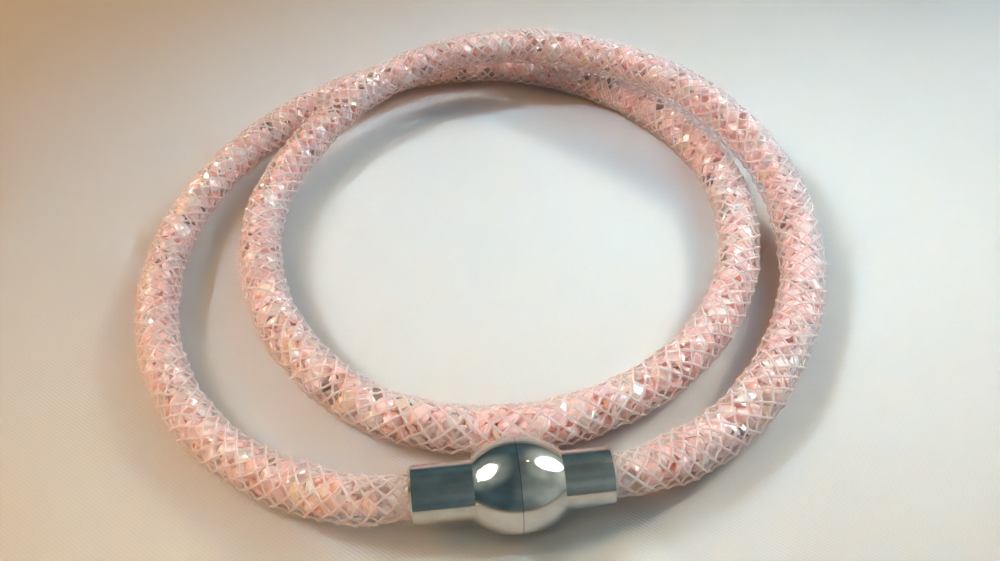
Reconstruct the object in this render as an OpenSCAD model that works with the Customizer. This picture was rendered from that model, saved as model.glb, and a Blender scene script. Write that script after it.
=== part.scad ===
// Crystal bracelet that goes twice round the wrist: a net tube filled with loose cut
// crystals, with its two ends held in the cups of a barrel-shaped magnetic clasp.
// It lies flat as it was laid down: from the left cup the tube runs once round on the
// ground, then again as the smaller loop, crosses over itself at the back and comes down
// on the outside right, back to the right cup.
// X is to the right, Y away from the clasp, Z up. The origin is on the ground, under the
// middle of the bracelet's outline.

/* [Net tube] */
// Radius of the net tube at its usual filling
tube_r = 2.5; // [2.3:0.05:2.5]
// Radius of the net tube where it is drawn in to enter a cup
tube_end_r = 2.1; // [1.9:0.05:2.15]
// Thickness of the net
net_t = 0.3; // [0.2:0.05:0.35]
// Number of sides of the tube
tube_sides = 12; // [8:4:16]
// Number of rings from one row of the route to the next
rings_per_row = 4; // [2:1:5]

/* [Crystals] */
// Diameter of a crystal at its girdle
crystal_d = 2.2; // [1.8:0.1:2.2]
// Least gap between crystals, and between a crystal and the net
crystal_gap = 0.12; // [0.12:0.02:0.4]
// Distance along the tube from one crystal to the next
crystal_step = 1.65; // [1.65:0.05:4]
// Turn about the tube from one crystal to the next
crystal_turn = 165; // [150:5:180]

/* [Clasp] */
// Largest diameter of the barrel
barrel_d = 8.8; // [8.4:0.1:9.2]
// Length of the barrel
barrel_l = 8.1; // [7.8:0.1:8.6]
// Diameter of the barrel's flat ends
barrel_end_d = 6.2; // [5.8:0.1:6.6]
// Outer diameter of the cups
cup_d = 5.4; // [5.3:0.1:5.7]
// Length of the left cup
cup_left_l = 5.8; // [5:0.1:6.5]
// Length of the right cup
cup_right_l = 4.8; // [4.5:0.1:6.5]
// Depth of the bore that the tube's end is glued into
bore_depth = 4; // [3:0.1:4.4]
// Bevel round the mouth of a cup
bevel = 0.25; // [0.1:0.05:0.35]
// Gap at the seam where the clasp pulls apart
seam_gap = 0.04; // [0.04:0.01:0.2]

/* [Magnet] */
// Diameter of the magnet
magnet_d = 4; // [3:0.1:4.4]
// Length of the magnet
magnet_l = 4.4; // [3:0.1:5]

/* [Placing of the clasp] */
// Barrel's middle, to the right of the route's centre
clasp_x = 2.9; // [2:0.1:4]
// Barrel's middle, in front of the route's centre
clasp_front = 34.35; // [34:0.05:36]
// Turn of the clasp, its right end away from the front
clasp_turn = 6.5; // [3:0.5:8]

/* [Hidden] */

// Clearance between the tube's end and its bore, and between the magnet and its pocket
fit_gap = 0.1;
// Roundness of the clasp's circles
clasp_fn = 96;
// Radius of the arc of the barrel's outline, from its length and its fall to the ends
barrel_fall = (barrel_d - barrel_end_d) / 2;
barrel_arc_r = (pow(barrel_l / 2, 2) + pow(barrel_fall, 2)) / (2 * barrel_fall);
// Radius of the bore in a cup
bore_r = tube_end_r + fit_gap;
// Crystals start this far from the tube's ends
crystal_margin = bore_depth + 3;

// Columns of the route's table
TURN = 0;   // degrees round from the front, over the left, the back and the right
RADIUS = 1; // distance of the tube's middle from the route's centre
LIFT = 2;   // height of the tube's underside over the ground
FILL = 3;   // tube's radius as a share of tube_r
route = [
    [ 17, 37.2, 1.5, 0.92],
    [ 27, 38.0, 0.4, 1.00],
    [ 42, 39.2, 0.0, 0.97],
    [ 64, 39.4, 0.0, 0.95],
    [ 88, 38.5, 0.0, 0.93],
    [112, 37.7, 0.0, 0.93],
    [136, 37.5, 0.0, 0.95],
    [160, 37.9, 0.0, 0.96],
    [184, 37.9, 0.0, 0.96],
    [206, 36.3, 0.0, 1.02],
    [228, 34.1, 0.0, 1.05],
    [250, 32.3, 0.0, 1.05],
    [274, 30.2, 0.0, 1.01],
    [300, 28.5, 0.0, 0.99],
    [328, 27.5, 0.0, 1.01],
    [356, 27.3, 0.0, 1.01],
    [384, 27.4, 0.0, 1.01],
    [412, 26.9, 0.0, 1.03],
    [440, 27.4, 0.0, 1.01],
    [464, 28.8, 0.2, 1.00],
    [486, 30.1, 1.2, 0.96],
    [508, 32.2, 3.0, 0.96],
    [530, 34.1, 4.6, 0.98],
    [551, 35.4, 5.1, 1.01],
    [572, 35.3, 5.4, 1.03],
    [593, 35.5, 5.3, 1.05],
    [614, 37.2, 2.7, 1.07],
    [636, 37.4, 0.0, 1.07],
    [658, 36.4, 0.0, 1.04],
    [678, 36.2, 0.0, 1.05],
    [691, 35.8, 0.9, 1.01],
];

function unit(v) = v / norm(v);
function xyz(p) = [p.x, p.y, p.z];
function span(a, b) = norm(xyz(b) - xyz(a));

// Points of the tube's middle line are [x, y, z, tube radius]
function row_point(row) = let (r = tube_r * row[FILL])
    [-row[RADIUS] * sin(row[TURN]), -row[RADIUS] * cos(row[TURN]), row[LIFT] + r, r];

// A point on the clasp's axis, s to the right of the barrel's middle
function clasp_point(s) = [clasp_x + s * cos(clasp_turn), -clasp_front + s * sin(clasp_turn),
                           barrel_d / 2, tube_end_r];
left_mouth = -barrel_l / 2 - cup_left_l;
right_mouth = barrel_l / 2 + cup_right_l;
bore_end = bore_depth - fit_gap;

knots = concat(
    [clasp_point(left_mouth + bore_end), clasp_point(left_mouth - 0.5)],
    [for (row = route) row_point(row)],
    [clasp_point(right_mouth + 0.5), clasp_point(right_mouth - bore_end)]
);
last_knot = len(knots) - 1;

// Slope of the middle line at a knot. The tube is straight inside the cups, and elsewhere
// the slopes of the spans on both sides are shared out, the shorter span counting more.
function step_slope(i) = (knots[i + 1] - knots[i]) / span(knots[i], knots[i + 1]);
function slope(i) =
    i <= 1 ? step_slope(0)
    : i >= last_knot - 1 ? step_slope(last_knot - 1)
    : let (a = span(knots[i - 1], knots[i]), b = span(knots[i], knots[i + 1]))
      (step_slope(i - 1) * b + step_slope(i) * a) / (a + b);

// Point of the smooth line between knots i and i + 1, for t from 0 to 1
function between(i, t) = let (h = span(knots[i], knots[i + 1]))
    (2 * t * t * t - 3 * t * t + 1) * knots[i]
    + (t * t * t - 2 * t * t + t) * h * slope(i)
    + (3 * t * t - 2 * t * t * t) * knots[i + 1]
    + (t * t * t - t * t) * h * slope(i + 1);

// The smooth line may swing a little low where the tube comes down to the ground
function above_ground(p) = [p.x, p.y, max(p.z, p[3]), p[3]];

line = concat(
    [for (i = [0:last_knot - 1], k = [0:rings_per_row - 1])
        above_ground(between(i, k / rings_per_row))],
    [knots[last_knot]]
);
last = len(line) - 1;

// Length along the middle line up to each of its points
lengths = [for (i = 0, s = 0; i <= last; s = s + (i < last ? span(line[i], line[i + 1]) : 0),
                i = i + 1) s];
tube_l = lengths[last];

// The tube's cross directions at a point of the line: sideways, upwards and along
function frame_at(dir) = let (along = unit(dir), side = unit(cross(along, [0, 0, 1])))
    [side, cross(side, along), along];
function line_frame(i) = frame_at(xyz(line[min(i + 1, last)]) - xyz(line[max(i - 1, 0)]));

function ring(i, inset) = let (f = line_frame(i), r = line[i][3] - inset)
    [for (k = [0:tube_sides - 1]) let (a = k * 360 / tube_sides)
        xyz(line[i]) + r * (f[0] * sin(a) - f[1] * cos(a))];

// Middle of the outline on the ground, so that the origin lies under it
outline = [for (i = [0:last]) each ring(i, 0)];
front = min(concat([for (p = outline) p.y], [-clasp_front - barrel_d / 2]));
middle = [(min([for (p = outline) p.x]) + max([for (p = outline) p.x])) / 2,
          (front + max([for (p = outline) p.y])) / 2, 0];

// Quads between ring i and ring i + 1 of a skin whose points start at first
function skin_quads(first, outward) = [for (i = [0:last - 1], k = [0:tube_sides - 1])
    let (a = first + i * tube_sides + k, b = first + i * tube_sides + (k + 1) % tube_sides)
    outward ? [a, b, b + tube_sides, a + tube_sides]
            : [b, a, a + tube_sides, b + tube_sides]];

// Quads across the wall at ring i, where one skin's points start at first
function end_quads(i, first, outward) = [for (k = [0:tube_sides - 1])
    let (a = i * tube_sides + k, b = i * tube_sides + (k + 1) % tube_sides)
    outward ? [a, first + a, first + b, b] : [b, first + b, first + a, a]];

// Place along the tube, s from its start: a point, and the cross directions there
function tube_point(s) = [for (c = [0:3])
    lookup(s, [for (i = [0:last]) [lengths[i], line[i][c]]])];

module net_tube() {
    inner = len(outline);
    color("mistyrose", 0.5) translate(-middle)
        polyhedron(points = concat(outline, [for (i = [0:last]) each ring(i, net_t)]),
                   faces = concat(skin_quads(0, true), skin_quads(inner, false),
                                  end_quads(0, inner, true), end_quads(last, inner, false)));
}

// Round brilliant with a flat table, eight crown facets, eight back facets and a point
module crystal() {
    table_d = 0.56 * crystal_d;
    crown_h = 0.17 * crystal_d;
    back_h = 0.44 * crystal_d;
    hull() {
        cylinder(h = crown_h, d1 = crystal_d, d2 = table_d, $fn = 8);
        translate([0, 0, -back_h]) cylinder(h = back_h, d1 = 0, d2 = crystal_d, $fn = 8);
    }
}

// Crystals lie in a winding row that keeps each one clear of the next and of the net
module crystals() {
    count = floor((tube_l - 2 * crystal_margin) / crystal_step);
    color("rosybrown") translate(-middle)
        for (k = [0:count]) {
            s = crystal_margin + k * crystal_step;
            p = tube_point(s);
            f = frame_at(xyz(tube_point(s + 0.5)) - xyz(tube_point(s - 0.5)));
            room = (p[3] - net_t) * cos(180 / tube_sides);
            off = room - crystal_gap - crystal_d / 2;
            translate(xyz(p) + off * (f[0] * sin(k * crystal_turn) + f[1] * cos(k * crystal_turn)))
                rotate([k * 97, k * 61, k * 37]) crystal();
        }
}

// Outline of one half of the clasp, its axis upright and its seam at the bottom
module clasp_outline(cup_l) {
    half = barrel_l / 2;
    mouth = half + cup_l;
    difference() {
        union() {
            intersection() {
                translate([barrel_d / 2 - barrel_arc_r, 0]) circle(r = barrel_arc_r, $fn = clasp_fn);
                translate([0, seam_gap / 2]) square([barrel_d / 2, half - seam_gap / 2]);
            }
            translate([0, half - 1]) square([cup_d / 2 - bevel, cup_l + 1]);
            translate([0, half - 1]) square([cup_d / 2, cup_l + 1 - bevel]);
            translate([cup_d / 2 - bevel, mouth - bevel])
                polygon([[0, 0], [bevel, 0], [0, bevel]]);
        }
        square([magnet_d / 2 + fit_gap, magnet_l / 2 + fit_gap]);
        translate([0, mouth - bore_depth]) square([bore_r, bore_depth + 1]);
    }
}

module at_clasp() {
    translate(xyz(clasp_point(0)) - middle) rotate([0, 0, clasp_turn]) children();
}

module clasp_left() {
    color("slategray") at_clasp() rotate([0, -90, 0])
        rotate_extrude($fn = clasp_fn) clasp_outline(cup_left_l);
}

module clasp_right() {
    color("slategray") at_clasp() rotate([0, 90, 0])
        rotate_extrude($fn = clasp_fn) clasp_outline(cup_right_l);
}

module magnet() {
    color("dimgray") at_clasp() rotate([0, 90, 0])
        cylinder(h = magnet_l, d = magnet_d, center = true, $fn = clasp_fn);
}

net_tube();
crystals();
clasp_left();
clasp_right();
magnet();
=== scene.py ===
# Crystal bracelet that goes twice round the wrist, lying on a pale table.
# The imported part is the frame. Its clasp is shown as it is, in polished steel. The closed
# tube and its one row of stones are replaced by an open net of crossing strands and by the
# whole filling of cut stones.
# All sizes are in metres, +Z up, and the clasp side of the bracelet faces -Y.
import math

import bpy
import numpy as np
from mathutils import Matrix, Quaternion, Vector


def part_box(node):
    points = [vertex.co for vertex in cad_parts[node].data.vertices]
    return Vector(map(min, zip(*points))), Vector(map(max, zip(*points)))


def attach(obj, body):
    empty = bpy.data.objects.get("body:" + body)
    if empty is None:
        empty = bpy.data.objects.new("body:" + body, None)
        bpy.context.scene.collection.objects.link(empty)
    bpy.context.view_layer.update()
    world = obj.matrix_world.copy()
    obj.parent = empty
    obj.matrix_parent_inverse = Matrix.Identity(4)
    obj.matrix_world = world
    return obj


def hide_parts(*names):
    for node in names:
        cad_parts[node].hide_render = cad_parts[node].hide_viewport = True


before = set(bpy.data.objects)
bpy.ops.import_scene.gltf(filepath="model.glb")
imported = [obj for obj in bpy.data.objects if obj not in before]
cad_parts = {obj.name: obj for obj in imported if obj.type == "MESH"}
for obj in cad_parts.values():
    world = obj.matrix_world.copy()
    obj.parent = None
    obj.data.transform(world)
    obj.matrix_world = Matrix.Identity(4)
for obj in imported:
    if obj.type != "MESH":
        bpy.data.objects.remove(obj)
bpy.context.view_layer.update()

Z_AXIS = np.array([0.0, 0.0, 1.0])
TINY = 1e-12  # keeps a division by nought away
TINY_LENGTH = 1e-9

# Route of the net tube, as in the part's source. Columns: degrees round from the front over
# the left, the back and the right; distance of the tube's middle from the route's centre;
# height of its underside over the ground; its radius as a share of TUBE_R.
ROUTE = [
    (17, 0.0372, 0.0015, 0.92),
    (27, 0.0380, 0.0004, 1.00),
    (42, 0.0392, 0.0, 0.97),
    (64, 0.0394, 0.0, 0.95),
    (88, 0.0385, 0.0, 0.93),
    (112, 0.0377, 0.0, 0.93),
    (136, 0.0375, 0.0, 0.95),
    (160, 0.0379, 0.0, 0.96),
    (184, 0.0379, 0.0, 0.96),
    (206, 0.0363, 0.0, 1.02),
    (228, 0.0341, 0.0, 1.05),
    (250, 0.0323, 0.0, 1.05),
    (274, 0.0302, 0.0, 1.01),
    (300, 0.0285, 0.0, 0.99),
    (328, 0.0275, 0.0, 1.01),
    (356, 0.0273, 0.0, 1.01),
    (384, 0.0274, 0.0, 1.01),
    (412, 0.0269, 0.0, 1.03),
    (440, 0.0274, 0.0, 1.01),
    (464, 0.0288, 0.0002, 1.00),
    (486, 0.0301, 0.0012, 0.96),
    (508, 0.0322, 0.0030, 0.96),
    (530, 0.0341, 0.0046, 0.98),
    (551, 0.0354, 0.0051, 1.01),
    (572, 0.0353, 0.0054, 1.03),
    (593, 0.0355, 0.0053, 1.05),
    (614, 0.0372, 0.0027, 1.07),
    (636, 0.0374, 0.0, 1.07),
    (658, 0.0364, 0.0, 1.04),
    (678, 0.0362, 0.0, 1.05),
    (691, 0.0358, 0.0009, 1.01),
]
TUBE_R = 0.0025
TUBE_END_R = 0.0021
NET_T = 0.0003

# Clasp, as in the part's source
BARREL_D = 0.0088
BARREL_L = 0.0081
CUP_LEFT_L = 0.0058
CUP_RIGHT_L = 0.0048
BORE_DEPTH = 0.004
FIT_GAP = 0.0001
CLASP_X = 0.0029
CLASP_FRONT = 0.03435
CLASP_TURN = math.radians(6.5)

magnet_low, magnet_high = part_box("magnet")
CLASP_MIDDLE = np.array((magnet_low + magnet_high) / 2)
ROUTE_CENTRE = CLASP_MIDDLE - np.array([CLASP_X, -CLASP_FRONT, BARREL_D / 2])
ROUTE_CENTRE[2] = 0.0


# Camera

CAMERA_PLACE = (0.00129, -0.07006, 0.0711)  # from the route's centre
CAMERA_PITCH = math.radians(47.5)  # below the horizon
SENSOR_W = 36.0  # millimetres
FOCAL_SHARE = 0.8  # focal length over the sensor's width
NEAREST_SEEN = 0.002
FARTHEST_SEEN = 20.0


def make_camera():
    data = bpy.data.cameras.new("camera")
    data.sensor_width = SENSOR_W
    data.lens = FOCAL_SHARE * SENSOR_W
    data.clip_start = NEAREST_SEEN
    data.clip_end = FARTHEST_SEEN
    camera = bpy.data.objects.new("camera", data)
    camera.location = ROUTE_CENTRE + np.array(CAMERA_PLACE)
    camera.rotation_euler = (math.pi / 2 - CAMERA_PITCH, 0.0, 0.0)
    bpy.context.collection.objects.link(camera)
    bpy.context.scene.camera = camera


make_camera()


# Middle line of the tube

STEPS_PER_SPAN = 40
MOUTH_ROOM = 0.0005  # from a cup's mouth to the first point of the line outside it


def unit(v):
    return v / np.linalg.norm(v, axis=-1, keepdims=True)


def clasp_point(s):
    """Point of the line inside the clasp, s to the right of the barrel's middle."""
    along = np.array([math.cos(CLASP_TURN), math.sin(CLASP_TURN), 0.0])
    return np.append(CLASP_MIDDLE + s * along, TUBE_END_R)


def route_point(turn, distance, lift, fill):
    r = TUBE_R * fill
    a = math.radians(turn)
    place = ROUTE_CENTRE + np.array([-distance * math.sin(a), -distance * math.cos(a), lift + r])
    return np.append(place, r)


def middle_line():
    """Points (x, y, z, tube radius) of the smooth line from the left cup to the right one."""
    left_mouth = -BARREL_L / 2 - CUP_LEFT_L
    right_mouth = BARREL_L / 2 + CUP_RIGHT_L
    bore_end = BORE_DEPTH - FIT_GAP
    before = [clasp_point(left_mouth + bore_end), clasp_point(left_mouth - MOUTH_ROOM)]
    after = [clasp_point(right_mouth + MOUTH_ROOM), clasp_point(right_mouth - bore_end)]
    knots = np.array(before + [route_point(*row) for row in ROUTE] + after)
    span = np.linalg.norm(np.diff(knots[:, :3], axis=0), axis=1)
    step = np.diff(knots, axis=0) / span[:, None]
    share = (span[:-1] / (span[:-1] + span[1:]))[:, None]
    slope = np.empty_like(knots)
    slope[1:-1] = step[:-1] * (1 - share) + step[1:] * share
    slope[:2] = step[0]
    slope[-2:] = step[-1]
    t = (np.arange(STEPS_PER_SPAN) / STEPS_PER_SPAN)[None, :, None]
    h = span[:, None, None]
    a, b = knots[:-1, None], knots[1:, None]
    line = (
        (2 * t**3 - 3 * t**2 + 1) * a
        + (t**3 - 2 * t**2 + t) * h * slope[:-1, None]
        + (3 * t**2 - 2 * t**3) * b
        + (t**3 - t**2) * h * slope[1:, None]
    ).reshape(-1, 4)
    line = np.vstack([line, knots[-1]])
    line[:, 2] = np.maximum(line[:, 2], line[:, 3])
    return line


class Tube:
    """The tube's middle line, read by the length s along it from the left cup's end."""

    def __init__(self, line):
        points = line[:, :3]
        steps = np.linalg.norm(np.diff(points, axis=0), axis=1)
        self.s = np.append(0.0, np.cumsum(steps))
        self.length = self.s[-1]
        self.points = points
        self.radii = line[:, 3]
        self.dirs = unit(np.gradient(points, self.s, axis=0))

    def radius(self, s):
        return np.interp(s, self.s, self.radii)

    def centre(self, s):
        return np.stack([np.interp(s, self.s, self.points[:, c]) for c in range(3)], -1)

    def frame(self, s):
        """Right, upwards and along at s, as the columns of a left-handed matrix."""
        along = unit(np.stack([np.interp(s, self.s, self.dirs[:, c]) for c in range(3)], -1))
        side = unit(np.cross(along, Z_AXIS))
        return np.stack([side, np.cross(side, along), along], -1)

    def outward(self, s, turn):
        """Direction away from the middle line, turn radians round from the underside."""
        axes = self.frame(s)
        return axes[..., 0] * np.sin(turn)[..., None] - axes[..., 1] * np.cos(turn)[..., None]


tube = Tube(middle_line())


def ends_fade(s, start, width):
    """0 within start of either end of the tube, 1 further in, with a soft step between."""
    t = np.clip((np.minimum(s, tube.length - s) - start) / width, 0, 1)
    return t * t * (3 - 2 * t)


def make_mesh(name, vertices, faces, smooth):
    mesh = bpy.data.meshes.new(name)
    mesh.from_pydata(vertices.tolist(), [], faces)
    mesh.polygons.foreach_set("use_smooth", [smooth] * len(mesh.polygons))
    mesh.update()
    piece = bpy.data.objects.new(name, mesh)
    bpy.context.collection.objects.link(piece)
    return piece


# Net

STRANDS = 8  # that wind each way
LEAN = math.radians(49)  # of the strands from the tube's direction
LEAN_VARIES = math.radians(3.5)
STRAND_W = 0.00028
STRAND_T = 0.0002
STRAND_SIDES = 5
STEPS_PER_CELL = 4  # along a strand, from one crossing to the next
KNOT_PROUD = 0.00016  # how far the crossings stand out over the strands between them
KNOT_WIDER = 0.35  # share that a strand is wider at a crossing
FREE_LENGTH = 0.003  # past a cup's bore, over which the strands start to lie unevenly
NET_SLIDE = 0.00022  # how far the strands stray along the tube
NET_SWING = math.radians(4)  # and round it
NET_BULGE = 0.00007  # and outwards

# Waves of the net's unevenness: seed, how many, and their shortest and longest length
LEAN_WAVES = (11, 6, 0.02, 0.09)
SLIDE_WAVES = (21, 8, 0.004, 0.03)
SWING_WAVES = (22, 8, 0.004, 0.03)
BULGE_WAVES = (23, 10, 0.003, 0.012)
WAVES_ROUND = 4  # every wave repeats fewer times than this round the tube


class Waves:
    """Smooth seeded noise over the tube's surface, mostly between -1 and 1."""

    def __init__(self, seed, count, shortest, longest):
        rng = np.random.default_rng(seed)
        self.round = rng.integers(0, WAVES_ROUND, count)
        self.along = 2 * math.pi / rng.uniform(shortest, longest, count)
        self.phase = rng.uniform(0, 2 * math.pi, count)

    def __call__(self, s, turn):
        total = np.zeros(np.broadcast(s, turn).shape)
        for m, k, phase in zip(self.round, self.along, self.phase):
            total = total + np.cos(m * turn + k * s + phase)
        return total / math.sqrt(len(self.along))


def strand_turns():
    """How far a strand has turned round the tube at each point of the line, in radians."""
    drift = Waves(*LEAN_WAVES)(tube.s, np.zeros_like(tube.s))
    rate = np.tan(LEAN + LEAN_VARIES * drift) / tube.radii
    steps = np.diff(tube.s) * (rate[:-1] + rate[1:]) / 2
    return np.append(0.0, np.cumsum(steps))


def net_strands(name, way):
    """The strands that wind one way: way is 1 or -1."""
    turned = strand_turns()
    cell = math.pi / STRANDS
    count = int(turned[-1] / cell) * STEPS_PER_CELL
    turn = np.arange(count + 1) * cell / STEPS_PER_CELL
    s = np.interp(turn, turned, tube.s)
    knot = np.cos(turn * STRANDS) ** 2
    free = ends_fade(s, BORE_DEPTH, FREE_LENGTH)
    slide = Waves(*SLIDE_WAVES)
    swing = Waves(*SWING_WAVES)
    bulge = Waves(*BULGE_WAVES)
    sides = np.arange(STRAND_SIDES) * 2 * math.pi / STRAND_SIDES
    vertices, faces = [], []
    for k in range(STRANDS):
        angle = k * 2 * math.pi / STRANDS + way * turn
        s_here = s + NET_SLIDE * free * slide(s, angle)
        angle_here = angle + NET_SWING * free * swing(s, angle)
        lift = free * (KNOT_PROUD * (knot - 0.5) + NET_BULGE * bulge(s, angle))
        outward = tube.outward(s_here, angle_here)
        path = tube.centre(s_here) + outward * (tube.radius(s_here) - NET_T / 2 + lift)[:, None]
        path[:, 2] = np.maximum(path[:, 2], STRAND_T / 2)
        along = unit(np.gradient(path, axis=0))
        across = unit(np.cross(along, outward))
        proud = np.cross(across, along)
        width = STRAND_W / 2 * (1 + KNOT_WIDER * knot**3)
        ring = (
            path[:, None]
            + across[:, None] * (np.cos(sides)[None, :] * width[:, None])[..., None]
            + proud[:, None] * (np.sin(sides) * STRAND_T / 2)[None, :, None]
        )
        first = sum(len(v) for v in vertices)
        vertices.append(ring.reshape(-1, 3))
        i = np.arange(count)[:, None] * STRAND_SIDES + first
        a = np.arange(STRAND_SIDES)[None, :]
        b = (a + 1) % STRAND_SIDES
        # Listed so that the faces point into the strand. Its material shows both sides.
        quads = np.stack([i + a, i + b, i + b + STRAND_SIDES, i + a + STRAND_SIDES], -1)
        faces += quads.reshape(-1, 4).tolist()
        faces.append([first + j for j in range(STRAND_SIDES)][::-1])
        faces.append([first + count * STRAND_SIDES + j for j in range(STRAND_SIDES)])
    return make_mesh(name, np.vstack(vertices), faces, True)


# Crystals

CRYSTALS = 1540
CRYSTAL_D = 0.0022  # at the girdle
CROWN_SHARE = 0.17  # height over the girdle, as a share of the diameter
BACK_SHARE = 0.44  # depth below it
TABLE_SHARE = 0.56  # radius of the flat table, as a share of the girdle's
MIDDLE_SHARE = 0.80  # radius of the crown's middle corners
MIDDLE_RISE = 0.56  # their height, as a share of the crown's
CRYSTAL_CLEAR = 0.00045  # from the tube's outside to the crystals
FIRST_ROOM = 0.0022  # from the left bore's mouth to the middle of the nearest stone
LAST_ROOM = 0.0018  # the same at the right bore
LENGTH_SAMPLES = 4000
SPARSE_END = 0.3  # share of the usual filling at the tube's ends
SPARSE_LENGTH = 0.006  # over which it rises to the whole filling
START_ROOM = 0.0006  # that the stones start further in than they may end
CORE_SHARE = 0.1  # of the inside's area, round its middle, where no stone starts
ANGLE_STEP = 2.4  # radians round the tube from one stone to the next
ANGLE_SCATTER = 0.5
FACING_OUT = 0.66  # share of the stones whose table faces outwards, more or less
FACING_SCATTER = 0.45
SHADES = (0.9, 1.08)  # darkest and lightest stone of a kind, as shares of its colour

# Pressing the stones apart, round by round
PRESS_ROUNDS = 160
NEAR = 1.05  # stones closer than this many diameters may touch
NEIGHBOURS = 25  # next along the tube that each stone is tested against
BALL_GAP = 0.00003
WALL_PUSH = 1.5  # of the tube's wall, against a push of 1 between stones
STEP_SHARE = 0.35  # of a push that is followed in one round
MAX_MOVE = 0.0003
MAX_TURN = 0.3  # radians
ARM_SHARE = 0.35  # of the diameter, at which a push turns a stone


def crystal_form():
    """Vertices and faces of one cut stone, its girdle at z = 0 and its table upwards.
    Returns the vertices, the crown's faces and the back's faces."""
    r = CRYSTAL_D / 2
    crown_h, back_h = CROWN_SHARE * CRYSTAL_D, BACK_SHARE * CRYSTAL_D
    eighth = np.arange(8) * math.pi / 4
    sixteenth = np.arange(16) * math.pi / 8

    def circle(angles, radius, z):
        x, y = radius * np.cos(angles), radius * np.sin(angles)
        return np.stack([x, y, np.full(len(angles), z)], -1)

    table = circle(eighth, r * TABLE_SHARE, crown_h)
    middle = circle(eighth + math.pi / 8, r * MIDDLE_SHARE, crown_h * MIDDLE_RISE)
    girdle = circle(sixteenth, r, 0.0)
    tip = np.array([[0.0, 0.0, -back_h]])
    vertices = np.vstack([table, middle, girdle, tip])
    m, g, point = 8, 16, 32
    crown = [list(range(8))]
    back = []
    for k in range(8):
        after, before = (k + 1) % 8, (k - 1) % 8
        g0, g1, g2 = g + 2 * k, g + 2 * k + 1, g + (2 * k + 2) % 16
        crown.append([k, m + k, after])
        crown.append([k, m + before, g0, m + k])
        crown.append([m + k, g0, g1])
        crown.append([m + k, g1, g2])
        back.append([g1, g0, point])
        back.append([g2, g1, point])
    return vertices, crown, back


# Small balls that stand for a stone while the stones are pressed apart: six in a ring at the
# girdle, and two below the table's middle. All are shares of the stone's diameter.
RING_SHARE = 0.36
RING_BALL = 0.13
RING = [(RING_SHARE * math.cos(a), RING_SHARE * math.sin(a)) for a in np.arange(6) * math.pi / 3]
MIDDLE_BALLS = [(0.0, 0.0, -0.05, 0.23), (0.0, 0.0, -0.27, 0.14)]  # x, y, z, radius
BALLS = np.array([(x, y, 0.0, RING_BALL) for x, y in RING] + MIDDLE_BALLS)
BALLS *= CRYSTAL_D


def random_turns(rng, count):
    """Rotation matrices, spread evenly."""
    q = unit(rng.normal(size=(count, 4)))
    w, x, y, z = q.T
    return np.stack(
        [
            np.stack([1 - 2 * (y * y + z * z), 2 * (x * y - z * w), 2 * (x * z + y * w)], -1),
            np.stack([2 * (x * y + z * w), 1 - 2 * (x * x + z * z), 2 * (y * z - x * w)], -1),
            np.stack([2 * (x * z - y * w), 2 * (y * z + x * w), 1 - 2 * (x * x + y * y)], -1),
        ],
        -2,
    )


def turned_by(matrices, spin):
    """The matrices turned by small rotation vectors."""
    angle = np.linalg.norm(spin, axis=1, keepdims=True) + TINY
    axis = spin / angle
    c, s = np.cos(angle)[..., None], np.sin(angle)[..., None]
    k = np.zeros((len(spin), 3, 3))
    k[:, 0, 1], k[:, 0, 2], k[:, 1, 2] = -axis[:, 2], axis[:, 1], -axis[:, 0]
    k[:, 1, 0], k[:, 2, 0], k[:, 2, 1] = axis[:, 2], -axis[:, 1], axis[:, 0]
    return (np.eye(3) + s * k + (1 - c) * (k @ k)) @ matrices


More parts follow.
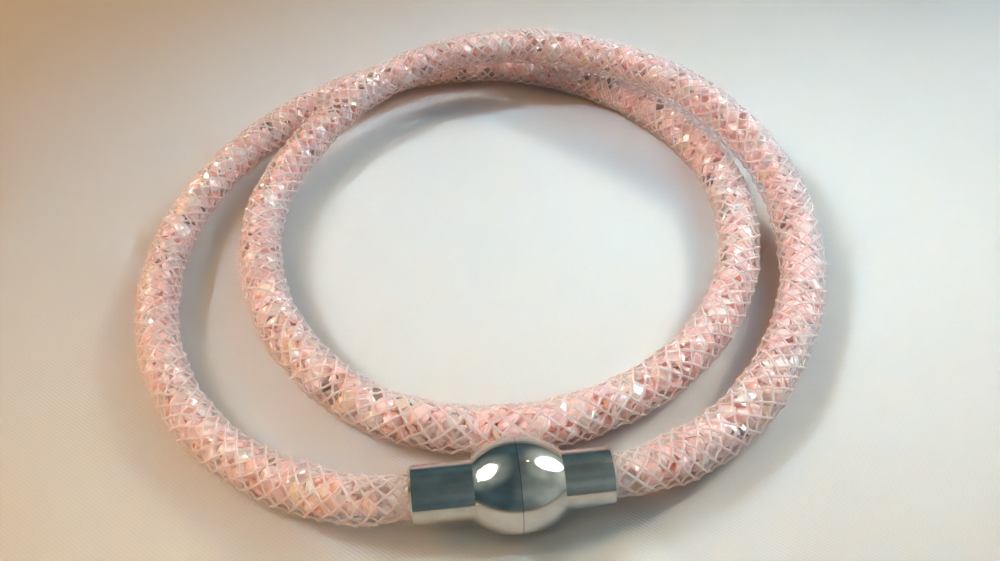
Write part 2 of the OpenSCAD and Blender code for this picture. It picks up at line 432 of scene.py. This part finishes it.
def pack_crystals():
    """Places and turns of the stones, in the straightened tube: sideways, upwards, along."""
    rng = np.random.default_rng(5)
    first, last = BORE_DEPTH + FIRST_ROOM, tube.length - BORE_DEPTH - LAST_ROOM
    lengths = np.linspace(first, last, LENGTH_SAMPLES)
    from_end = np.minimum(lengths - first, last - lengths)
    amount = SPARSE_END + (1 - SPARSE_END) * np.clip(from_end / SPARSE_LENGTH, 0, 1)
    amount = np.cumsum(amount * (tube.radius(lengths) - CRYSTAL_CLEAR) ** 2)
    along = np.interp((np.arange(CRYSTALS) + 0.5) / CRYSTALS * amount[-1], amount, lengths)
    wide = tube.radius(along) - CRYSTAL_CLEAR - START_ROOM
    wide = wide * np.sqrt(rng.uniform(CORE_SHARE, 1, CRYSTALS))
    angle = np.arange(CRYSTALS) * ANGLE_STEP
    angle = angle + rng.uniform(-ANGLE_SCATTER, ANGLE_SCATTER, CRYSTALS)
    place = np.stack([wide * np.cos(angle), wide * np.sin(angle), along], -1)
    turns = random_turns(rng, CRYSTALS)

    outward = np.stack([np.cos(angle), np.sin(angle), np.zeros(CRYSTALS)], -1)
    table = turns[:, :, 2]
    wanted = unit(outward + FACING_SCATTER * rng.normal(size=(CRYSTALS, 3)))
    spin = np.cross(table, wanted)
    size = np.linalg.norm(spin, axis=1, keepdims=True)
    spin *= np.arctan2(size, np.sum(table * wanted, axis=1, keepdims=True)) / (size + TINY)
    faces_out = rng.uniform(size=CRYSTALS) < FACING_OUT
    turns[faces_out] = turned_by(turns[faces_out], spin[faces_out])

    reach = CRYSTAL_D * NEAR
    ball_r = BALLS[:, 3]
    for _ in range(PRESS_ROUNDS):
        arm = np.einsum("nij,bj->nbi", turns, BALLS[:, :3])
        centres = place[:, None] + arm
        push = np.zeros_like(place)
        spin = np.zeros_like(place)
        order = np.argsort(place[:, 2])
        for shift in range(1, NEIGHBOURS + 1):
            a, b = order[:-shift], order[shift:]
            near = np.linalg.norm(place[a] - place[b], axis=1) < reach
            a, b = a[near], b[near]
            if len(a) == 0:
                continue
            gap = centres[a][:, :, None] - centres[b][:, None]
            distance = np.linalg.norm(gap, axis=-1) + TINY_LENGTH
            depth = np.maximum(ball_r[:, None] + ball_r[None, :] + BALL_GAP - distance, 0)
            force = gap * (depth / distance)[..., None]
            on_a, on_b = force.sum(2), -force.sum(1)
            np.add.at(push, a, on_a.sum(1))
            np.add.at(push, b, on_b.sum(1))
            np.add.at(spin, a, np.cross(arm[a], on_a).sum(1))
            np.add.at(spin, b, np.cross(arm[b], on_b).sum(1))
        wall = (tube.radius(place[:, 2]) - CRYSTAL_CLEAR)[:, None]
        off = np.linalg.norm(centres[..., :2], axis=-1) + TINY_LENGTH
        depth = np.maximum(off + ball_r - wall, 0)
        force = np.zeros_like(centres)
        force[..., :2] = -centres[..., :2] * (depth / off)[..., None]
        push += WALL_PUSH * force.sum(1)
        spin += WALL_PUSH * np.cross(arm, force).sum(1)
        size = np.linalg.norm(push, axis=1, keepdims=True)
        push *= np.minimum(1, MAX_MOVE / (size + TINY))
        place += STEP_SHARE * push
        place[:, 2] = np.clip(place[:, 2], first, last)
        spin = spin / (ARM_SHARE * CRYSTAL_D) ** 2
        size = np.linalg.norm(spin, axis=1, keepdims=True)
        spin *= np.minimum(1, MAX_TURN / (size + TINY))
        turns = turned_by(turns, STEP_SHARE * spin)
    return place, turns


# Kinds of stone: share of all stones, colour, and how clear it is
KINDS = [
    (0.52, (0.97, 0.67, 0.655), 0.12),
    (0.22, (0.98, 0.77, 0.755), 0.20),
    (0.09, (0.98, 0.91, 0.90), 0.40),
    (0.10, (0.82, 0.70, 0.68), 0.30),
    (0.04, (0.48, 0.43, 0.42), 0.60),
    (0.03, (0.96, 0.77, 0.60), 0.20),
]


def make_crystals():
    place, turns = pack_crystals()
    vertices, crown, back = crystal_form()
    axes = tube.frame(place[:, 2])
    middle = tube.centre(place[:, 2])
    offset = axes[..., 0] * place[:, :1] + axes[..., 1] * place[:, 1:2]
    # The tube's axes are left-handed, so this mirrors each stone and its faces point inwards
    turns = axes @ turns
    points = (middle + offset)[:, None] + np.einsum("nij,vj->nvi", turns, vertices)
    count = len(vertices)
    faces = []
    for k in range(CRYSTALS):
        faces += [[k * count + i for i in face] for face in crown + back]
    piece = make_mesh("crystals_filling", points.reshape(-1, 3), faces, False)
    rng = np.random.default_rng(9)
    shares = np.cumsum([kind[0] for kind in KINDS])
    kind = np.minimum(np.searchsorted(shares, rng.uniform(size=CRYSTALS)), len(KINDS) - 1)
    colour = np.array([(*k[1], k[2]) for k in KINDS])[kind]
    colour = np.clip(colour * rng.uniform(*SHADES, (CRYSTALS, 1)), 0, 1)
    rgba = np.ones((CRYSTALS, count, 4), np.float32)
    rgba[:] = colour[:, None]
    attribute = piece.data.color_attributes.new("glass", "FLOAT_COLOR", "POINT")
    attribute.data.foreach_set("color", rgba.ravel())
    slots = [0] * len(crown) + [1] * len(back)
    piece.data.materials.append(crystal_material("crystal_crown", False))
    piece.data.materials.append(crystal_material("crystal_back", True))
    piece.data.polygons.foreach_set("material_index", slots * CRYSTALS)
    return piece


# Materials


def new_material(name):
    material = bpy.data.materials.new(name)
    material.use_nodes = True
    nodes = material.node_tree.nodes
    return material, nodes, material.node_tree.links, nodes["Principled BSDF"]


def colour_ramp(nodes, links, value, stops):
    """The colour that belongs to the value, by stops of (position, colour)."""
    ramp = nodes.new("ShaderNodeValToRGB")
    elements = ramp.color_ramp.elements
    for i, (position, colour) in enumerate(stops):
        stop = elements[i] if i < len(elements) else elements.new(position)
        stop.position = position
        stop.color = (*colour, 1)
    links.new(value, ramp.inputs["Fac"])
    return ramp.outputs["Color"]


def map_range(nodes, links, value, low, high, to_low=0.0, to_high=1.0, smooth=False):
    """The value stretched from the range low to high onto to_low to to_high."""
    stretch = nodes.new("ShaderNodeMapRange")
    if smooth:
        stretch.interpolation_type = "SMOOTHSTEP"
    stretch.inputs["From Min"].default_value = low
    stretch.inputs["From Max"].default_value = high
    stretch.inputs["To Min"].default_value = to_low
    stretch.inputs["To Max"].default_value = to_high
    links.new(value, stretch.inputs["Value"])
    return stretch.outputs["Result"]


def noise_texture(nodes, scale, detail):
    noise = nodes.new("ShaderNodeTexNoise")
    noise.inputs["Scale"].default_value = scale
    noise.inputs["Detail"].default_value = detail
    return noise


def add_bump(nodes, links, shader, height, strength, depth):
    bump = nodes.new("ShaderNodeBump")
    bump.inputs["Strength"].default_value = strength
    bump.inputs["Distance"].default_value = depth
    links.new(height, bump.inputs["Height"])
    links.new(bump.outputs["Normal"], shader.inputs["Normal"])


def spread_inside(shader, weight, colour_reach, reach):
    """Light that spreads under the surface, further for red than for green and blue."""
    shader.inputs["Subsurface Weight"].default_value = weight
    shader.inputs["Subsurface Radius"].default_value = colour_reach
    shader.inputs["Subsurface Scale"].default_value = reach


GLASS_IOR = 1.75
GLASS_SPREAD = (0.6, (1.0, 0.62, 0.55), 0.0009)  # weight, reach of each colour, scale
SHADOW_CLEAR = 0.8  # share of a lamp's light that each face of a stone lets through
SHADOW_TINT = (1.0, 0.90, 0.88, 1)
CROWN_PALER = 0.1
CROWN_ROUGHNESS = 0.04
BACK_ROUGHNESS = 0.25


def crystal_material(name, silvered):
    """Clear tinted glass on the crown, and the silvered back that throws the light out."""
    material, nodes, links, shader = new_material(name)
    tint = nodes.new("ShaderNodeAttribute")
    tint.attribute_name = "glass"
    colour = tint.outputs["Color"]
    if not silvered:
        pale = nodes.new("ShaderNodeMixRGB")
        pale.inputs["Fac"].default_value = CROWN_PALER
        pale.inputs["Color2"].default_value = (1, 1, 1, 1)
        links.new(colour, pale.inputs["Color1"])
        colour = pale.outputs["Color"]
    inner_facets_and_painted_reflections(nodes, links, shader, colour)
    shader.inputs["Roughness"].default_value = BACK_ROUGHNESS if silvered else CROWN_ROUGHNESS
    clear_as = "Metallic" if silvered else "Transmission Weight"
    links.new(tint.outputs["Alpha"], shader.inputs[clear_as])
    shader.inputs["IOR"].default_value = GLASS_IOR
    spread_inside(shader, *GLASS_SPREAD)
    passes_light(nodes, links, shader)
    return material


INNER_FACET = 0.0005  # size of the facets seen through the glass
INNER_TILT = 0.4
# Painted reflections of the facets inside a stone, darkest to lightest, as shares of its colour
INNER_PAINTED_REFLECTIONS = [(0.06, (0.42, 0.39, 0.39)), (0.22, (0.94, 0.93, 0.93)), (1.0, (1, 1, 1))]


def inner_facets_and_painted_reflections(nodes, links, shader, colour):
    """Breaks a face up into small tilted facets, and paints light and dark reflections of the facets
    inside the stone into its colour.
    """
    cells = nodes.new("ShaderNodeTexVoronoi")
    cells.inputs["Scale"].default_value = 1 / INNER_FACET
    links.new(own_place(nodes, links, (1, 1, 1)), cells.inputs["Vector"])
    # Light and dark inner reflections, painted into the stone's colour
    painted_reflection = colour_ramp(nodes, links, cells.outputs["Color"], INNER_PAINTED_REFLECTIONS)
    tinted = nodes.new("ShaderNodeMixRGB")
    tinted.blend_type = "MULTIPLY"
    tinted.inputs["Fac"].default_value = 1.0
    links.new(colour, tinted.inputs["Color1"])
    links.new(painted_reflection, tinted.inputs["Color2"])
    links.new(tinted.outputs["Color"], shader.inputs["Base Color"])
    even = nodes.new("ShaderNodeVectorMath")
    even.operation = "SUBTRACT"
    even.inputs[1].default_value = (0.5, 0.5, 0.5)
    links.new(cells.outputs["Color"], even.inputs[0])
    tilt = nodes.new("ShaderNodeVectorMath")
    tilt.operation = "MULTIPLY_ADD"
    tilt.inputs[1].default_value = (INNER_TILT, INNER_TILT, INNER_TILT)
    face = nodes.new("ShaderNodeNewGeometry")
    links.new(even.outputs["Vector"], tilt.inputs[0])
    links.new(face.outputs["Normal"], tilt.inputs[2])
    whole = nodes.new("ShaderNodeVectorMath")
    whole.operation = "NORMALIZE"
    links.new(tilt.outputs["Vector"], whole.inputs[0])
    links.new(whole.outputs["Vector"], shader.inputs["Normal"])


def passes_light(nodes, links, shader):
    """Lets part of the lamps' light through in the shadows, as real glass does."""
    path = nodes.new("ShaderNodeLightPath")
    share = nodes.new("ShaderNodeMath")
    share.operation = "MULTIPLY"
    share.inputs[1].default_value = SHADOW_CLEAR
    links.new(path.outputs["Is Shadow Ray"], share.inputs[0])
    clear = nodes.new("ShaderNodeBsdfTransparent")
    clear.inputs["Color"].default_value = SHADOW_TINT
    mix = nodes.new("ShaderNodeMixShader")
    links.new(share.outputs["Value"], mix.inputs["Fac"])
    links.new(shader.outputs["BSDF"], mix.inputs[1])
    links.new(clear.outputs["BSDF"], mix.inputs[2])
    links.new(mix.outputs["Shader"], nodes["Material Output"].inputs["Surface"])


NET_MILKY = 0.28  # share of a strand that spreads light through itself
NET_SOLID = 0.36  # how opaque the rest of it is
NET_ROUGHNESS = 0.38
NET_NOISE = 900  # scale of its change of colour
NET_SHADES = [(0.35, (0.97, 0.82, 0.80)), (0.65, (0.99, 0.90, 0.88))]
NET_SPREAD = (0.8, (1.0, 0.8, 0.75), 0.0004)  # as GLASS_SPREAD


def net_material():
    """Milky nylon, a little paler and pinker from place to place."""
    material, nodes, links, shader = new_material("net_nylon")
    noise = nodes.new("ShaderNodeTexNoise")
    noise.inputs["Scale"].default_value = NET_NOISE
    colour = colour_ramp(nodes, links, noise.outputs["Fac"], NET_SHADES)
    links.new(colour, shader.inputs["Base Color"])
    shader.inputs["Roughness"].default_value = NET_ROUGHNESS
    spread_inside(shader, *NET_SPREAD)
    shader.inputs["Alpha"].default_value = NET_SOLID
    milky = nodes.new("ShaderNodeBsdfTranslucent")
    links.new(colour, milky.inputs["Color"])
    mix = nodes.new("ShaderNodeMixShader")
    mix.inputs["Fac"].default_value = NET_MILKY
    links.new(shader.outputs["BSDF"], mix.inputs[1])
    links.new(milky.outputs["BSDF"], mix.inputs[2])
    links.new(mix.outputs["Shader"], nodes["Material Output"].inputs["Surface"])
    return material


def own_place(nodes, links, stretch, turn=0.0):
    """Place on the object in metres, stretched along each axis and turned about Z."""
    place = nodes.new("ShaderNodeTexCoord")
    scale = nodes.new("ShaderNodeMapping")
    scale.inputs["Scale"].default_value = stretch
    scale.inputs["Rotation"].default_value = (0, 0, turn)
    links.new(place.outputs["Object"], scale.inputs["Vector"])
    return scale.outputs["Vector"]


STEEL_COLOUR = (0.74, 0.79, 0.80)
STEEL_ROUGHNESS = 0.085
PLATING_COLOUR = (0.45, 0.45, 0.46)
PLATING_ROUGHNESS = 0.35
SMUDGE_SCALE = 420
SMUDGE_DETAIL = 3
SMUDGE_SHADES = (0.35, 0.62)  # of its noise, from smudged to clean
SMUDGE_MATT = (0.45, 0.75)  # of its noise, from polished to matt
SMUDGE_DARKER = 0.84
SMUDGE_ROUGHER = 2.2
SCRATCH_STRETCH = (9000, 500, 500)  # fine across the clasp's length, long round it
SCRATCH_DETAIL = 2
SCRATCH_STRENGTH = 0.06
SCRATCH_DEPTH = 0.00001


def steel_material(name, colour, roughness):
    """Polished steel with soft smudges, and hairline scratches that run round the clasp."""
    material, nodes, links, shader = new_material(name)
    smudge = noise_texture(nodes, SMUDGE_SCALE, SMUDGE_DETAIL)
    links.new(own_place(nodes, links, (1, 1, 1)), smudge.inputs["Vector"])
    scratch = noise_texture(nodes, 1.0, SCRATCH_DETAIL)
    links.new(own_place(nodes, links, SCRATCH_STRETCH), scratch.inputs["Vector"])
    smudged = [c * SMUDGE_DARKER for c in colour]
    shades = list(zip(SMUDGE_SHADES, (smudged, colour)))
    tint = colour_ramp(nodes, links, smudge.outputs["Fac"], shades)
    links.new(tint, shader.inputs["Base Color"])
    rougher = roughness * SMUDGE_ROUGHER
    matt = map_range(nodes, links, smudge.outputs["Fac"], *SMUDGE_MATT, roughness, rougher)
    links.new(matt, shader.inputs["Roughness"])
    add_bump(nodes, links, shader, scratch.outputs["Fac"], SCRATCH_STRENGTH, SCRATCH_DEPTH)
    shader.inputs["Metallic"].default_value = 1.0
    return material


# Pieces

for name, way in (("net_strands_right", 1), ("net_strands_left", -1)):
    strands = net_strands(name, way)
    strands.data.materials.append(net_material())
    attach(strands, "root")
    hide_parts("net_tube")

crystals = make_crystals()
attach(crystals, "root")
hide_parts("crystals")

for node in ("clasp_left", "clasp_right"):
    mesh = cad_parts[node].data
    mesh.materials.clear()
    mesh.materials.append(steel_material(node + "_steel", STEEL_COLOUR, STEEL_ROUGHNESS))
magnet_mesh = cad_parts["magnet"].data
magnet_mesh.materials.clear()
magnet_mesh.materials.append(steel_material("magnet_plating", PLATING_COLOUR, PLATING_ROUGHNESS))


# Table and light

TABLE_SIZE = 6.0
THREAD = 0.00032  # from one thread of the cloth to the next
THREAD_TURN = math.radians(32)
BANDS_RATE = 20  # Blender's bands repeat every 2 pi / 20 at a scale of 1
THREAD_WOBBLE = 1.5
WOBBLE_SCALE = 0.3
X_THREAD_SHARE = 0.5  # height of the bands along X, against 1 for those along Y
CLOTH_SHADES = [(0.0, (0.485, 0.480, 0.462)), (1.0, (0.515, 0.510, 0.490))]
CLOTH_BUMP = (0.12, 0.0001)  # strength, depth
CLOTH_ROUGHNESS = 0.9


def make_table():
    half = TABLE_SIZE / 2
    corners = np.array([(-half, -half, 0), (half, -half, 0), (half, half, 0), (-half, half, 0)])
    table = make_mesh("table_top", corners, [[0, 1, 2, 3]], False)
    material, nodes, links, shader = new_material("table_cloth")
    place = own_place(nodes, links, (1, 1, 1), THREAD_TURN)
    threads = []
    for direction in ("X", "Y"):
        wave = nodes.new("ShaderNodeTexWave")
        wave.bands_direction = direction
        wave.inputs["Scale"].default_value = 2 * math.pi / (BANDS_RATE * THREAD)
        wave.inputs["Distortion"].default_value = THREAD_WOBBLE
        wave.inputs["Detail"].default_value = 1
        wave.inputs["Detail Scale"].default_value = WOBBLE_SCALE
        links.new(place, wave.inputs["Vector"])
        threads.append(wave.outputs["Fac"])
    weave = nodes.new("ShaderNodeMath")
    weave.operation = "MULTIPLY_ADD"
    links.new(threads[0], weave.inputs[0])
    weave.inputs[1].default_value = X_THREAD_SHARE
    links.new(threads[1], weave.inputs[2])
    tint = colour_ramp(nodes, links, weave.outputs["Value"], CLOTH_SHADES)
    links.new(tint, shader.inputs["Base Color"])
    add_bump(nodes, links, shader, weave.outputs["Value"], *CLOTH_BUMP)
    shader.inputs["Roughness"].default_value = CLOTH_ROUGHNESS
    shader.inputs["Specular IOR Level"].default_value = 0.0
    table.data.materials.append(material)


def direction(azimuth, elevation):
    """Unit vector. Azimuth is clockwise from +Y seen from above, both in degrees."""
    a, e = math.radians(azimuth), math.radians(elevation)
    return np.array([math.sin(a) * math.cos(e), math.cos(a) * math.cos(e), math.sin(e)])


def make_lamp(shiny, name, place, distance, size, watts, colour, roll, spread=180, aim=None):
    """An oval soft light that shows in shiny surfaces only, or else lights dull ones only."""
    data = bpy.data.lights.new(name, "AREA")
    data.shape = "ELLIPSE"
    data.size, data.size_y = size
    data.energy = watts
    data.color = colour
    data.spread = math.radians(spread)
    lamp = bpy.data.objects.new(name, data)
    lamp.visible_glossy = shiny
    lamp.visible_diffuse = not shiny
    lamp.location = CLASP_MIDDLE + direction(*place) * distance
    target = CLASP_MIDDLE if aim is None else np.array((*aim, 0.0))
    facing = Vector(lamp.location - Vector(target)).to_track_quat("Z", "Y")
    lamp.rotation_mode = "QUATERNION"
    lamp.rotation_quaternion = facing @ Quaternion((0, 0, 1), math.radians(roll))
    bpy.context.collection.objects.link(lamp)


BRIGHT_SIDE = (0.95, -0.10, 0.30)  # towards the brighter side of the room
DIM_WALL = (0.060, 0.090, 0.094)
BRIGHT_WALL = (0.31, 0.32, 0.28, 1)
LOW_WALL = (0.117, 0.134, 0.130)  # near the table
LOW_WALL_TOP = 0.12  # height in the sky up to which it fades
BRIGHT_EDGE = (0.1, 1.0)  # cosine of the angle to BRIGHT_SIDE, at its edge and core
LEFT_LAMP = (-72, 43)  # azimuth and elevation
RIGHT_LAMP = (57, 35)
HALO = (0.20, 0.184, 0.142, 1)  # of the wall round each lamp
HALO_EDGE = (0.68, 0.95)  # cosine of the angle to the lamp, at the halo's edge and core
UNEVEN_SCALE = 1.7  # of the light and dark patches all over the wall
UNEVEN_RANGE = (0.3, 0.7, 0.7, 1.3)  # of their noise, and of the brightness it gives


def make_world():
    world = bpy.data.worlds.new("room")
    world.use_nodes = True
    nodes, links = world.node_tree.nodes, world.node_tree.links
    place = nodes.new("ShaderNodeTexCoord")
    split = nodes.new("ShaderNodeSeparateXYZ")
    links.new(place.outputs["Generated"], split.inputs["Vector"])
    heights = [(0.0, LOW_WALL), (LOW_WALL_TOP, DIM_WALL)]
    wall = colour_ramp(nodes, links, split.outputs["Z"], heights)
    lean = nodes.new("ShaderNodeVectorMath")
    lean.operation = "DOT_PRODUCT"
    lean.inputs[1].default_value = BRIGHT_SIDE
    links.new(place.outputs["Generated"], lean.inputs[0])
    bright = map_range(nodes, links, lean.outputs["Value"], *BRIGHT_EDGE, smooth=True)
    mix = nodes.new("ShaderNodeMixRGB")
    mix.inputs["Color2"].default_value = BRIGHT_WALL
    links.new(bright, mix.inputs["Fac"])
    links.new(wall, mix.inputs["Color1"])
    colour = mix.outputs["Color"]
    for lamp in (LEFT_LAMP, RIGHT_LAMP):
        near = nodes.new("ShaderNodeVectorMath")
        near.operation = "DOT_PRODUCT"
        near.inputs[1].default_value = direction(*lamp)
        links.new(place.outputs["Generated"], near.inputs[0])
        fade = map_range(nodes, links, near.outputs["Value"], *HALO_EDGE, smooth=True)
        halo = nodes.new("ShaderNodeMixRGB")
        halo.blend_type = "ADD"
        halo.inputs["Color2"].default_value = HALO
        links.new(fade, halo.inputs["Fac"])
        links.new(colour, halo.inputs["Color1"])
        colour = halo.outputs["Color"]
    uneven = noise_texture(nodes, UNEVEN_SCALE, 1)
    links.new(place.outputs["Generated"], uneven.inputs["Vector"])
    strength = map_range(nodes, links, uneven.outputs["Fac"], *UNEVEN_RANGE)
    links.new(strength, nodes["Background"].inputs["Strength"])
    links.new(colour, nodes["Background"].inputs["Color"])
    bpy.context.scene.world = world


# Lamps that light dull surfaces only, and lamps that show in shiny ones only. Columns: name;
# azimuth and elevation, seen from the clasp; distance; widths of the oval; watts; colour;
# degrees turned in its own plane; then, where the light is narrow, its spread in degrees and
# the point of the table that it is aimed at.
DULL_LAMPS = [
    ("left_wash", LEFT_LAMP, 0.64, (0.40, 0.33), 3.2, (1.0, 0.44, 0.04), 0),
    ("left_core", LEFT_LAMP, 0.62, (0.09, 0.08), 0.030, (0.38, 0.72, 0.95), 0, 12, (0.02, 0.0)),
    ("right_wash", RIGHT_LAMP, 0.18, (0.10, 0.14), 0.165, (0.18, 0.62, 1.0), -19),
    ("right_core", RIGHT_LAMP, 0.62, (0.09, 0.08), 0.040, (0.96, 0.78, 0.50), 0, 19, (0.06, -0.02)),
    ("corner_fill", (-130, 50), 0.40, (0.05, 0.05), 0.0042, (1.0, 0.76, 0.46), 0, 16, (-0.044, -0.048)),
    ("back_fill", RIGHT_LAMP, 0.62, (0.09, 0.08), 0.009, (0.78, 0.95, 1.0), 0, 9, (0.015, 0.03)),
    ("front_wash", (180, 77), 0.21, (0.03, 0.03), 0.011, (1.0, 0.98, 0.92), 0, 26, (0.0, -0.085)),
]
SHINY_LAMPS = [
    ("left_glow", LEFT_LAMP, 0.60, (0.40, 0.33), 1.3, (1.0, 0.94, 0.82), 0),
    ("left_hot", LEFT_LAMP, 0.59, (0.10, 0.09), 0.9, (1.0, 0.90, 0.72), 0),
    ("right_glow", RIGHT_LAMP, 0.60, (0.34, 0.46), 1.5, (1.0, 0.99, 0.95), -19),
    ("right_hot", RIGHT_LAMP, 0.59, (0.10, 0.12), 1.2, (1.0, 0.99, 0.96), -19),
    ("warm_spark", (27, 58), 0.5, (0.03, 0.03), 0.012, (1.0, 0.52, 0.24), 0),
    ("left_spark", (-92, 31), 0.5, (0.02, 0.02), 0.01, (1.0, 0.95, 0.90), 0),
]

make_table()
make_world()
for row in DULL_LAMPS:
    make_lamp(False, *row)
for row in SHINY_LAMPS:
    make_lamp(True, *row)
bpy.context.scene.view_settings.view_transform = "Standard"
